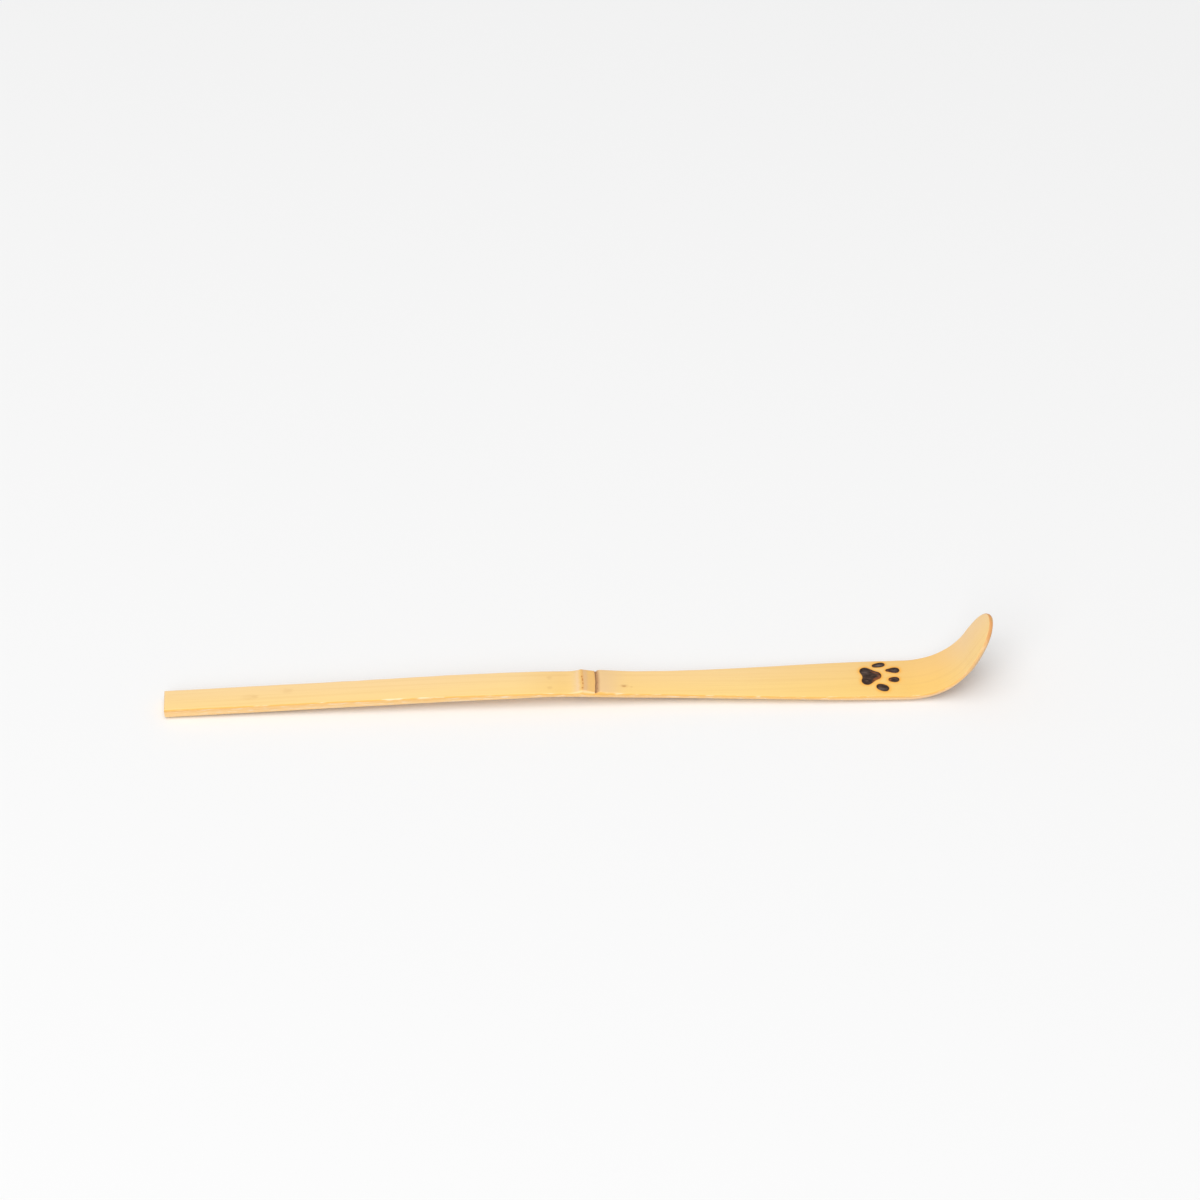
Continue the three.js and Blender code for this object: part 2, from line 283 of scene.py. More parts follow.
@lru_cache(maxsize=None)
def halfWidthAt(station):
    along = max(0.0, (station - roundStation) / strip["tipRounding"])
    fullness = strip["tipFullness"]
    rounded = max(0.0, 1 - along ** fullness) ** (1 / fullness)
    return max(widthAt(station) / 2 * rounded, strip["tipFlat"] / 2)


@lru_cache(maxsize=None)
def edgeAt(station, side):
    # the hand-cut edge wanders a little, and runs true again at the heel and the tip
    calm = smoothStep(station, 0, strip["trueRun"]) * (1 - smoothStep(station, roundStation, tipStation))
    edge = "farEdge" if side > 0 else "nearEdge"
    wander = lineNoise(edge, station, strip["wanderLength"]) * strip["edgeWander"]
    return halfWidthAt(station) + wander * calm


def acrossToY(station, across):
    return across * edgeAt(station, 1 if across > 0 else -1)


def skinHeight(station, y):
    radius = strip["culmRadius"]
    half = halfWidthAt(station)
    return thicknessAt(station) + math.sqrt(radius ** 2 - y ** 2) - math.sqrt(radius ** 2 - half ** 2)


def seamHeight(station, y):
    return skinHeight(station, y) - strip["rindThickness"]


def edgeDistance(station, y):
    along = (station - roundStation) / strip["tipRounding"]
    side = 1 if y > 0 else -1
    if along <= 0:
        return min(edgeAt(station, side) - abs(y), strip["heelCrisp"] * station)
    # inside the rounded end: how far the superellipse is, along its own slope
    half = widthAt(station) / 2
    fullness = strip["tipFullness"]
    across = abs(y) / half
    level = 1 - across ** fullness - along ** fullness
    slope = math.hypot(across ** (fullness - 1) / half, along ** (fullness - 1) / strip["tipRounding"])
    return max(0.0, level / (fullness * slope))


def nodeSwell(station):
    n = node
    if station <= ridgeStation:
        share = clamp(1 - (ridgeStation - station) / n["riseRun"])
        return n["height"] * share ** n["riseShape"]
    if station <= scarStation:
        fallen = smoothStep(station, ridgeStation, scarStation + n["fallPast"])
        return n["rest"] + (n["height"] - n["rest"]) * (1 - fallen)
    past = station - bladeStation
    if past <= n["lipCrestAhead"]:
        share = clamp(past / n["lipCrestAhead"])
        return n["lipStep"] + (n["lipCrest"] - n["lipStep"]) * math.sin(share * math.pi / 2)
    faded = clamp((past - n["lipCrestAhead"]) / n["lipFade"])
    return n["lipCrest"] * (1 - faded) ** 2


def nodeRelief(station, y):
    # a sharper crest line and the rough band between it and the scar
    n = node
    fromCrest = station - ridgeStation
    uneven = 1 + n["crestUneven"] * lineNoise("crest", y, n["crestGrain"])
    crest = n["crestSharp"] * math.exp(-(fromCrest / n["crestWidth"]) ** 2) * uneven
    fadedBand = smoothStep(fromCrest, n["fall"] - n["bandFade"], n["fall"])
    band = smoothStep(fromCrest, *n["bandStart"]) * (1 - fadedBand)
    return crest + band * n["bandRough"] * layerNoise("band", station, y, n["bandGrain"])


def nodeWobble(station, y):
    # how far the ridge and the scar stray along the strip
    reach = math.exp(-((station - scarStation) / node["wobbleReach"]) ** 2)
    share = y / halfWidthAt(station)
    bow = node["stray"] + node["lean"] * share - node["bow"] * share ** 2
    return reach * (bow + node["wobble"] * lineNoise("wobble", y, node["wobbleGrain"]))


def easeAt(station, y):
    # the near side of the ridge is pared down
    fromParing = (station - ridgeStation - node["paringAhead"]) / node["paringReach"]
    paring = node["nearParing"] * math.exp(-fromParing ** 2) if y < 0 else 0.0
    edge = "nearEase" if y < 0 else "farEase"
    uneven = 1 + strip["easeUneven"] * lineNoise(edge, station, strip["easeGrain"])
    return (strip["edgeEase"] + paring) * uneven


def easeDrop(station, y):
    ease = easeAt(station, y)
    gap = edgeDistance(station, y)
    return ease * (1 - gap / ease) ** strip["easeShape"] if gap < ease else 0.0


def cutShare(station, y):
    # 1 on an edge, 0 from where the cut's colour ends
    return clamp(1 - edgeDistance(station, y) / (strip["cutReach"] * easeAt(station, y)))


def evenStations(start, end, step):
    return [float(s) for s in np.linspace(start, end, max(1, math.ceil((end - start) / step)) + 1)]


def closeStart(stations):
    return [stations[0], stations[0] + strip["seamStep"], *stations[1:]]


def closeEnds(stations):
    return [*closeStart(stations)[:-1], stations[-1] - strip["seamStep"], stations[-1]]


def acrossRows(count):
    return [math.sin(math.pi * (i / count - 0.5)) for i in range(count + 1)]


def newBlank():
    blank = bmesh.new()
    blank.verts.layers.float_vector.new("stripPlace")
    blank.verts.layers.float_vector.new("stripMask")
    return blank


def stripBlank(stations, rows, wallCuts=0):
    # a straight slab: station, across from -1 to 1, level from 0 underneath to 1 on top
    blank = newBlank()
    bmesh.ops.create_grid(blank, x_segments=len(stations) - 1, y_segments=len(rows) - 1, size=1.0)
    for vert in blank.verts:
        column = round((vert.co.x + 1) / 2 * (len(stations) - 1))
        row = round((vert.co.y + 1) / 2 * (len(rows) - 1))
        vert.co = (stations[column], rows[row], 0.0)
    raised = bmesh.ops.extrude_face_region(blank, geom=blank.faces[:])["geom"]
    topVerts = [item for item in raised if isinstance(item, bmesh.types.BMVert)]
    bmesh.ops.translate(blank, vec=(0.0, 0.0, 1.0), verts=topVerts)
    if wallCuts:
        walls = [edge for edge in blank.edges if edge.verts[0].co.z != edge.verts[1].co.z]
        bmesh.ops.subdivide_edges(blank, edges=walls, cuts=wallCuts, use_grid_fill=True)
    return blank


def shapeStrip(blank, placeVert):
    # keeps each vertex's place on the straight strip, and its masks, for the materials
    stripPlace = blank.verts.layers.float_vector["stripPlace"]
    stripMask = blank.verts.layers.float_vector["stripMask"]
    for vert in blank.verts:
        (station, y, height), masks = placeVert(*vert.co)
        vert[stripPlace] = Vector((station, y, height))
        vert[stripMask] = Vector(masks)
        vert.co = bendStrip(station + nodeWobble(station, y), y, height)
    return blank


sharpAngle = math.radians(40)


def finishPiece(blank, name, cadNode, material):
    bmesh.ops.recalc_face_normals(blank, faces=blank.faces[:])
    mesh = bpy.data.meshes.new(name)
    blank.to_mesh(mesh)
    blank.free()
    mesh.shade_smooth()
    mesh.set_sharp_from_angle(angle=sharpAngle)
    mesh.materials.append(material)
    piece = bpy.data.objects.new(name, mesh)
    bpy.context.scene.collection.objects.link(piece)
    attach(piece, "root")
    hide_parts(cadNode)
    print("piece:", name, len(mesh.polygons), "faces")
    return piece


# Burnt paw mark: a pad and four toes, measured from the pad's centre towards the bowl. Each outline is
# a ring of arcs, in degrees, joined by smooth sides.
mark = {
    "back": 7.75,
    "side": 0.55,
    "padFront": {"radius": 1.2, "ahead": 1.15, "side": 0.0, "from": -70, "to": 70},
    "padFarLobe": {"radius": 1.15, "ahead": -1.1, "side": 1.4, "from": 60, "to": 206},
    "padNearLobe": {"radius": 1.15, "ahead": -0.85, "side": -1.5, "from": 152, "to": 300},
    "recess": 0.24,
    "wall": 0.12,
    "blister": 0.03,  # the skin swells round a burnt place
    "blisterReach": 0.16,
    "haloReach": 0.46,
    "haloUneven": 0.45,
    "haloGrain": (1.4, 1.1),
    "snap": 0.085,  # skin this near an outline is pulled onto it
    "margin": 1.2,  # skin this far before and beyond the mark can be burnt
    "pointsPerArc": 48,
}
toes = [
    {"ahead": 2.0, "side": 3.3, "splay": 12, "length": 2.8, "front": 0.65, "back": 0.52, "sweep": 72},
    {"ahead": 4.95, "side": 1.55, "splay": 0, "length": 3.0, "front": 0.82, "back": 0.38, "sweep": 76},
    {"ahead": 5.05, "side": -1.3, "splay": 0, "length": 2.3, "front": 0.7, "back": 0.54, "sweep": 70},
    {"ahead": 2.4, "side": -3.55, "splay": -24, "length": 2.8, "front": 0.8, "back": 0.76, "sweep": 60},
]


def toeArcs(toe):
    front, back, sweep = toe["front"], toe["back"], toe["sweep"]
    middle = toe["length"] / 2
    return [
        {"radius": front, "ahead": middle - front, "side": 0.0, "from": -sweep, "to": sweep},
        {"radius": back, "ahead": back - middle, "side": 0.0, "from": 180 - sweep, "to": 180 + sweep},
    ]


def heading(degrees):
    return Vector((math.cos(math.radians(degrees)), math.sin(math.radians(degrees))))


def arcPoint(arc, turn):
    return Vector((arc["ahead"], arc["side"])) + arc["radius"] * heading(turn)


def arcRing(arcs):
    points = []
    for arc, following in zip(arcs, arcs[1:] + arcs[:1]):
        points += [arcPoint(arc, turn) for turn in np.linspace(arc["from"], arc["to"], mark["pointsPerArc"])]
        start = points[-1]
        end = arcPoint(following, following["from"])
        pull = (end - start).length / 3
        leave = start + pull * heading(arc["to"] + 90)
        arrive = end + pull * heading(following["from"] - 90)
        points += geometry.interpolate_bezier(start, leave, arrive, end, mark["pointsPerArc"])[1:-1]
    return points


def burntPlace(name, cadNode, arcs, ahead, side, splay):
    centre = Vector((bendStation - mark["back"] + ahead, mark["side"] + side))
    turn = Matrix.Rotation(math.radians(splay), 2)
    turned = [turn @ point for point in arcRing(arcs)]
    angles = np.array([math.atan2(point.y, point.x) for point in turned])
    order = np.argsort(angles)
    radii = np.array([point.length for point in turned])
    return {
        "name": name,
        "cadNode": cadNode,
        "centre": centre,
        "outline": [centre + point for point in turned],
        "angles": angles[order],
        "radii": radii[order],
    }


def outlineRadius(place, angle):
    return float(np.interp(angle, place["angles"], place["radii"], period=2 * math.pi))


padArcs = [mark["padFront"], mark["padFarLobe"], mark["padNearLobe"]]
burntPlaces = [burntPlace("palmChar", "palm_char", padArcs, 0.0, 0.0, 0.0)]
for index, toe in enumerate(toes, 1):
    burntPlaces.append(burntPlace(f"toeChar{index}", f"toe_char_{index}", toeArcs(toe), toe["ahead"],
                                  toe["side"], toe["splay"]))
outlinePoints = [(point, place) for place in burntPlaces for point in place["outline"]]
outlineTree = kdtree.KDTree(len(outlinePoints))
for index, (point, _) in enumerate(outlinePoints):
    outlineTree.insert((point.x, point.y, 0.0), index)
outlineTree.balance()
markStart = min(point.x for point, _ in outlinePoints) - mark["margin"]
markEnd = max(point.x for point, _ in outlinePoints) + mark["margin"]


def burnAt(station, y):
    # nearest outline point, and the distance to it: below zero inside a burnt place
    nearest, index, distance = outlineTree.find((station, y, 0.0))
    place = outlinePoints[index][1]
    offset = Vector((station, y)) - place["centre"]
    inside = offset.length < outlineRadius(place, math.atan2(offset.y, offset.x))
    return nearest, -distance if inside else distance


# Each of these gives a vertex its place on the strip and its masks. Rind and scar: how far it is cut,
# scorched, and on an outline of the mark.
def placeRind(station, across, level):
    y = acrossToY(station, across)
    if level == 0.0:
        return (station, y, seamHeight(station, y)), (1.0, 0.0, 0.0)
    cut = cutShare(station, y)
    scorch = 0.0
    burn = 0.0
    onOutline = 0.0
    if markStart < station < markEnd:
        nearest, gap = burnAt(station, y)
        if abs(gap) < mark["snap"]:
            station, y, gap = nearest.x, nearest.y, 0.0
            onOutline = 1.0
        burn = -mark["recess"] * smoothStep(-gap, 0.0, mark["wall"])
        if gap > 0:
            burn += mark["blister"] * math.exp(-(gap / mark["blisterReach"]) ** 2)
        uneven = 1 + mark["haloUneven"] * layerNoise("halo", station, y, mark["haloGrain"])
        scorch = 1.0 if gap <= 0 else math.exp(-gap / (mark["haloReach"] * uneven))
    wave = strip["skinWave"] * layerNoise("skin", station, y, strip["waveGrain"])
    top = skinHeight(station, y) + nodeSwell(station) + nodeRelief(station, y) + wave + burn
    return (station, y, top - easeDrop(station, y)), (cut, scorch, onOutline)


def cutAlongOutlines(blank):
    # a cell with two corners on an outline is cut between them, so that no edge jumps into the recess
    stripMask = blank.verts.layers.float_vector["stripMask"]
    for face in blank.faces[:]:
        corners = face.verts[:]
        onOutline = [corner[stripMask].z > 0.5 for corner in corners]
        for first, second in ((0, 2), (1, 3)):
            if onOutline[first] and onOutline[second] and sum(onOutline) == 2:
                bmesh.utils.face_split(face, corners[first], corners[second])
    return blank


def placeScar(station, across, level):
    y = acrossToY(station, across)
    if level == 0.0:
        return (station, y, seamHeight(station, y)), (1.0, 0.0, 0.0)
    cut = cutShare(station, y)
    cork = node["corkRough"] * layerNoise("cork", station, y, node["corkGrain"])
    top = skinHeight(station, y) - node["scarSink"] + cork * (1 - cut)
    return (station, y, top - easeDrop(station, y)), (cut, 0.0, 0.0)


# Flesh: its masks are the side walls and the heel's end, and how deep it lies under the rind
flesh = {
    "bevelShare": 0.4,  # levels of the slab that go to the pared bevel
    "wallCuts": 9,
    "knifeRough": 0.012,
    "knifeGrain": (9.0, 1.4),
    "knifeStart": (0.5, 2.0),  # the heel's edge stays clean
    "wallFrom": 0.999,  # from here outwards a row is the side wall
}


def placeFlesh(station, across, level):
    y = acrossToY(station, across)
    top = seamHeight(station, y)
    edge = seamHeight(station, halfWidthAt(station))
    bevel = bevelAt(station)
    lift = liftAt(station)
    if level < flesh["bevelShare"]:
        share = level / flesh["bevelShare"]
        inset = bevel * spreadAt(station) * (1 - share)
        rise = bevel * share
    else:
        share = (level - flesh["bevelShare"]) / (1 - flesh["bevelShare"])
        inset = 0.0
        rise = bevel + (edge - lift - bevel) * share
    y -= across * inset
    risen = rise / (edge - lift)
    height = lift + risen * (top - lift)
    knife = flesh["knifeRough"] * layerNoise("knife", station, y, flesh["knifeGrain"]) * (1 - level)
    wall = 1.0 if abs(across) > flesh["wallFrom"] or station == 0.0 else 0.0
    return (station, y, height + knife * smoothStep(station, *flesh["knifeStart"])), (wall, 0.0, 1 - risen)


# Shader helpers
def tint(red, green, blue):
    # a colour given as screen values from 0 to 255
    return (*Color((red / 255, green / 255, blue / 255)).from_srgb_to_scene_linear(), 1.0)


def put(tree, kind, inputs=None, **settings):
    made = tree.nodes.new(kind)
    for name, value in settings.items():
        setattr(made, name, value)
    for key, value in (inputs or {}).items():
        if isinstance(value, bpy.types.NodeSocket):
            tree.links.new(value, made.inputs[key])
        else:
            made.inputs[key].default_value = value
    return made


def calc(tree, operation, first, second):
    return put(tree, "ShaderNodeMath", {0: first, 1: second}, operation=operation).outputs[0]


def plus(tree, first, second):
    return calc(tree, "ADD", first, second)


def minus(tree, first, second):
    return calc(tree, "SUBTRACT", first, second)


def times(tree, first, second):
    return calc(tree, "MULTIPLY", first, second)


def swing(tree, grain, reach):
    # noise from 0 to 1, made a distance to either side
    return times(tree, minus(tree, grain, 0.5), reach)


def span(tree, value, low, high, toLow=0.0, toHigh=1.0, kind="SMOOTHSTEP"):
    inputs = {"Value": value, "From Min": low, "From Max": high, "To Min": toLow, "To Max": toHigh}
    return put(tree, "ShaderNodeMapRange", inputs, interpolation_type=kind).outputs[0]


def fade(tree, value, limits):
    # limits: where it starts, where it is full, and how much that is
    start, full, most = limits
    return span(tree, value, start, full, 0.0, most)


def blendTone(tree, factor, first, second, mode="MIX"):
    made = put(tree, "ShaderNodeMix", {0: factor, 6: first, 7: second}, data_type="RGBA", blend_type=mode)
    return made.outputs[2]


def tonesAlong(tree, place, stops):
    # a colour ramp, with its stops given as places
    first = stops[0][0]
    last = stops[-1][0]
    made = put(tree, "ShaderNodeValToRGB", {0: span(tree, place, first, last, kind="LINEAR")})
    ramp = made.color_ramp
    while len(ramp.elements) < len(stops):
        ramp.elements.new(1.0)
    for element, (where, colour) in zip(ramp.elements, stops):
        element.position = (where - first) / (last - first)
        element.color = colour
    return made.outputs[0]


def stretched(tree, vector, scale):
    return put(tree, "ShaderNodeVectorMath", {0: vector, 1: scale}, operation="MULTIPLY").outputs[0]


def grainNoise(tree, place, scale, detail, roughness=0.5):
    vector = stretched(tree, place, scale)
    inputs = {"Vector": vector, "Scale": 1.0, "Detail": detail, "Roughness": roughness}
    return put(tree, "ShaderNodeTexNoise", inputs).outputs[0]


def newGroup(name, inputs, outputs):
    group = bpy.data.node_groups.new(name, "ShaderNodeTree")
    for direction, sockets in (("INPUT", inputs), ("OUTPUT", outputs)):
        for label, kind in sockets:
            group.interface.new_socket(label, in_out=direction, socket_type=kind)
    return group, group.nodes.new("NodeGroupInput"), group.nodes.new("NodeGroupOutput")


fibreLook = {
    "layers": {"Fine": ((0.045, 4.2, 4.2), 5.0), "Streak": ((0.016, 1.1, 1.1), 3.0)},  # scale and detail
    "roughness": 0.6,
    "contrast": (0.25, 0.75, 1.0),
}


def fibreGroup():
    # long fibres: fine lines and broad streaks, in strip millimetres
    group, given, result = newGroup(
        "bambooFibre",
        [("Strip", "NodeSocketVector")],
        [("Fine", "NodeSocketFloat"), ("Streak", "NodeSocketFloat")],
    )
    for label, (scale, detail) in fibreLook["layers"].items():
        grain = grainNoise(group, given.outputs["Strip"], scale, detail, fibreLook["roughness"])
        group.links.new(fade(group, grain, fibreLook["contrast"]), result.inputs[label])
    return group


spotLook = {"grain": (1.2, 3.0, 3.0), "detail": 3.0, "ragged": 0.9, "edge": (1.0, 0.25, 1.0)}


def spotGroup():
    # one spot on the strip, with a soft and ragged edge
    group, given, result = newGroup(
        "stripSpot",
        [("Strip", "NodeSocketVector"), ("Centre", "NodeSocketVector"), ("Size", "NodeSocketVector")],
        [("Mask", "NodeSocketFloat")],
    )
    place, centre, size = (given.outputs[label] for label in ("Strip", "Centre", "Size"))
    away = put(group, "ShaderNodeVectorMath", {0: place, 1: centre}, operation="SUBTRACT").outputs[0]
    scaled = put(group, "ShaderNodeVectorMath", {0: away, 1: size}, operation="DIVIDE").outputs[0]
    length = put(group, "ShaderNodeVectorMath", {0: scaled}, operation="LENGTH").outputs["Value"]
    ragged = grainNoise(group, place, spotLook["grain"], spotLook["detail"])
    rough = plus(group, length, swing(group, ragged, spotLook["ragged"]))
    group.links.new(fade(group, rough, spotLook["edge"]), result.inputs["Mask"])
    return group


bambooFibre = fibreGroup()
stripSpot = spotGroup()


def newMaterial(name):
    material = bpy.data.materials.new(name)
    material.use_nodes = True
    tree = material.node_tree
    shader = tree.nodes["Principled BSDF"]
    return material, tree, shader


def stripInputs(tree):
    place = put(tree, "ShaderNodeAttribute", attribute_name="stripPlace").outputs["Vector"]
    mask = put(tree, "ShaderNodeAttribute", attribute_name="stripMask").outputs["Vector"]
    station = put(tree, "ShaderNodeSeparateXYZ", {0: place}).outputs["X"]
    masks = put(tree, "ShaderNodeSeparateXYZ", {0: mask}).outputs
    return place, station, masks


def fibreInputs(tree, place):
    return put(tree, "ShaderNodeGroup", {"Strip": place}, node_tree=bambooFibre).outputs


def spotMask(tree, place, centre, size):
    inputs = {"Strip": place, "Centre": centre, "Size": size}
    return put(tree, "ShaderNodeGroup", inputs, node_tree=stripSpot).outputs["Mask"]


def finishSurface(tree, shader, tone, rough, height, depth):
    bump = put(tree, "ShaderNodeBump", {"Height": height, "Distance": depth})
    tree.links.new(tone, shader.inputs["Base Color"])
    tree.links.new(rough, shader.inputs["Roughness"])
    tree.links.new(bump.outputs[0], shader.inputs["Normal"])


# Rind: the polished skin, its cut edges and the scorched skin round the mark
rindFinish = {
    "along": [  # by station; the pale last stop at the tip's end is partly the rind's tone, partly painted sheen on the bowl's inner face
        (0.0, tint(251, 219, 163)),
        (58.0, tint(252, 220, 165)),
        (76.0, tint(252, 220, 161)),
        (86.0, tint(249, 212, 146)),
        (106.0, tint(252, 217, 154)),
        (125.0, tint(251, 218, 156)),
        (148.0, tint(249, 213, 144)),
        (163.0, tint(247, 206, 130)),
        (170.0, tint(248, 207, 135)),
        (179.0, tint(250, 215, 157)),
    ],
    "far": tint(255, 250, 244),  # painted sheen: the far side of the rounded skin paler with reflected light, and the next one the near side deeper
    "near": tint(255, 250, 221),
    "sides": (-4.5, 4.5, 1.0),
    "fibre": tint(228, 178, 104),
    "streakFade": (0.45, 1.0, 0.16),
    "fineFade": (0.5, 1.0, 0.09),
    "bloom": tint(242, 203, 146),  # dull skin beyond the scar
    "bloomFade": (7.0, 1.0, 1.0),
    "lip": tint(206, 162, 114),
    "lipFade": (0.7, 0.0, 1.0),
    "cutEdge": tint(247, 190, 98),
    "cutFade": (0.1, 0.7, 1.0),
    "fleck": tint(255, 228, 184),
    "fleckGrain": (0.3, 2.0, 2.5),
    "fleckDetail": 3.0,
    "fleckFade": (0.54, 0.72, 1.0),
    "rimCut": tint(236, 190, 132),
    "rimFade": (10.0, 17.0, 0.7),  # from the start of the bend
    "endCut": tint(226, 162, 98),
    "endFade": (-4.6, -1.4, 1.0),  # from the tip
    "amber": tint(248, 178, 68),
    "amberFade": (0.0, 0.8, 0.9),
    "brown": tint(140, 78, 34),
    "brownFade": (0.78, 0.97, 1.0),
    "soot": tint(50, 36, 30),
    "sootFade": (0.92, 1.0, 1.0),
    "stain": tint(206, 152, 88),
    "stainHeight": (3.0, 9.0),  # centre and half size upwards, so that a stain goes right through
    "roughness": 0.36,
    "fibreRough": 0.12,
    "cutRough": 0.2,
    "specular": 0.5,
    "bump": 0.02 * mm,
}
rindStains = [  # centre and half size along and across, in strip millimetres, and strength
    ((18.6, -0.4), (2.8, 1.2), 0.12),
    ((19.7, -0.35), (1.0, 0.7), 0.14),
    ((26.9, 0.85), (1.7, 1.2), 0.16),
    ((83.7, 1.3), (0.9, 0.8), 0.2),
    ((83.7, -1.7), (0.8, 0.7), 0.22),
    ((99.95, -1.3), (1.5, 0.7), 0.25),
    ((99.95, -1.3), (0.75, 0.3), 1.0),
    ((101.5, -1.5), (0.5, 0.25), 0.35),
]


def skinGroup():
    # the rind's colour: it shifts along the strip and carries a painted sheen across it, paler towards the
    # far side, under fine fibres
    f = rindFinish
    group, given, result = newGroup(
        "bambooSkin",
        [("Strip", "NodeSocketVector"), ("Fine", "NodeSocketFloat"), ("Streak", "NodeSocketFloat")],
        [("Tone", "NodeSocketColor")],
    )
    station, y, _ = put(group, "ShaderNodeSeparateXYZ", {0: given.outputs["Strip"]}).outputs
    tone = tonesAlong(group, station, f["along"])
    # painted sheen across the strip: paler on the far side, deeper on the near side
    sideSheen = blendTone(group, fade(group, y, f["sides"]), f["near"], f["far"])
    tone = blendTone(group, 1.0, tone, sideSheen, "MULTIPLY")
    tone = blendTone(group, fade(group, given.outputs["Streak"], f["streakFade"]), tone, f["fibre"])
    tone = blendTone(group, fade(group, given.outputs["Fine"], f["fineFade"]), tone, f["fibre"])
    group.links.new(tone, result.inputs["Tone"])
    return group


bambooSkin = skinGroup()


def skinTone(tree, place, fibre):
    inputs = {"Strip": place, "Fine": fibre["Fine"], "Streak": fibre["Streak"]}
    return put(tree, "ShaderNodeGroup", inputs, node_tree=bambooSkin).outputs["Tone"]


def roundEndTone(tree, station, tone):
    # round the bowl the cut is paler at first, and browner at the very end
    f = rindFinish
    tone = blendTone(tree, fade(tree, minus(tree, station, bendStation), f["rimFade"]), tone, f["rimCut"])
    return blendTone(tree, fade(tree, minus(tree, station, tipStation), f["endFade"]), tone, f["endCut"])


def cutTone(tree, place, station):
    # the knife-cut edge: orange with pale flecks
    f = rindFinish
    flecks = grainNoise(tree, place, f["fleckGrain"], f["fleckDetail"])
    tone = blendTone(tree, fade(tree, flecks, f["fleckFade"]), f["cutEdge"], f["fleck"])
    return roundEndTone(tree, station, tone)


def rindMaterial():
    f = rindFinish
    material, tree, shader = newMaterial("bambooRind")
    place, station, (cut, scorch, _) = stripInputs(tree)
    fibre = fibreInputs(tree, place)
    tone = skinTone(tree, place, fibre)
    onBlade = calc(tree, "GREATER_THAN", station, scarStation)
    past = minus(tree, station, bladeStation)
    tone = blendTone(tree, times(tree, onBlade, fade(tree, past, f["bloomFade"])), tone, f["bloom"])
    tone = blendTone(tree, times(tree, onBlade, fade(tree, past, f["lipFade"])), tone, f["lip"])
    height, reach = f["stainHeight"]
    for centre, size, strength in rindStains:
        spot = spotMask(tree, place, (*centre, height), (*size, reach))
        tone = blendTone(tree, times(tree, spot, strength), tone, f["stain"])
    tone = blendTone(tree, fade(tree, cut, f["cutFade"]), tone, cutTone(tree, place, station))
    tone = blendTone(tree, fade(tree, scorch, f["amberFade"]), tone, f["amber"])
    tone = blendTone(tree, fade(tree, scorch, f["brownFade"]), tone, f["brown"])
    tone = blendTone(tree, fade(tree, scorch, f["sootFade"]), tone, f["soot"])
    rough = plus(tree, f["roughness"], times(tree, fibre["Fine"], f["fibreRough"]))
    rough = plus(tree, rough, times(tree, cut, f["cutRough"]))
    shader.inputs["Specular IOR Level"].default_value = f["specular"]
    finishSurface(tree, shader, tone, rough, fibre["Fine"], f["bump"])
    return material


# Node ridge: it begins like the handle's skin and takes on its own tones towards the crest, with a painted
# highlight on the flank before the crest and painted shade on the flank beyond it
ridgeFinish = {
    "tonesWithPaintedLight": [  # by distance from the crest; the pale stop before it is a painted highlight, the darker stops just beyond it are painted shade
        (-1.9, tint(247, 209, 142)),
        (-1.4, tint(246, 208, 147)),
        (-0.9, tint(246, 210, 160)),
        (-0.5, tint(246, 205, 142)),
        (-0.2, tint(243, 197, 118)),
        (0.25, tint(236, 182, 106)),
        (0.65, tint(231, 188, 135)),
        (1.15, tint(233, 188, 130)),
        (1.6, tint(241, 193, 119)),
        (2.7, tint(243, 193, 115)),
        (3.1, tint(232, 184, 116)),
    ],
    "stray": 0.5,  # the tones stray within this length along the strip
    "strayGrain": (0.4, 0.9, 0.4),
    "strayDetail": 3.0,
    "fineFade": (0.4, 1.0, 0.14),
    "toneFade": (-2.8, -1.5, 1.0),  # from the crest
    "nodeFade": (0.1, 2.4, 1.0),  # from the foot of the ridge
    "bud": tint(198, 120, 46),
    "budShare": 0.8,
    "budHeight": (3.4, 9.0),
    "pared": tint(252, 216, 158),
    "paredFade": (0.1, 0.5, 0.8),
    "cutFade": (0.6, 0.95, 1.0),
    "roughness": 0.5,
    "fibreRough": 0.13,
    "uneven": 4.0,
    "bump": 0.02 * mm,
}
ridgeBuds = [  # centre from the crest and across, and half size
    ((0.1, 1.0), (0.26, 0.42)),
    ((0.2, 0.1), (0.3, 0.6)),
    ((0.25, -0.95), (0.3, 0.42)),
    ((0.15, -2.3), (0.28, 0.36)),
]


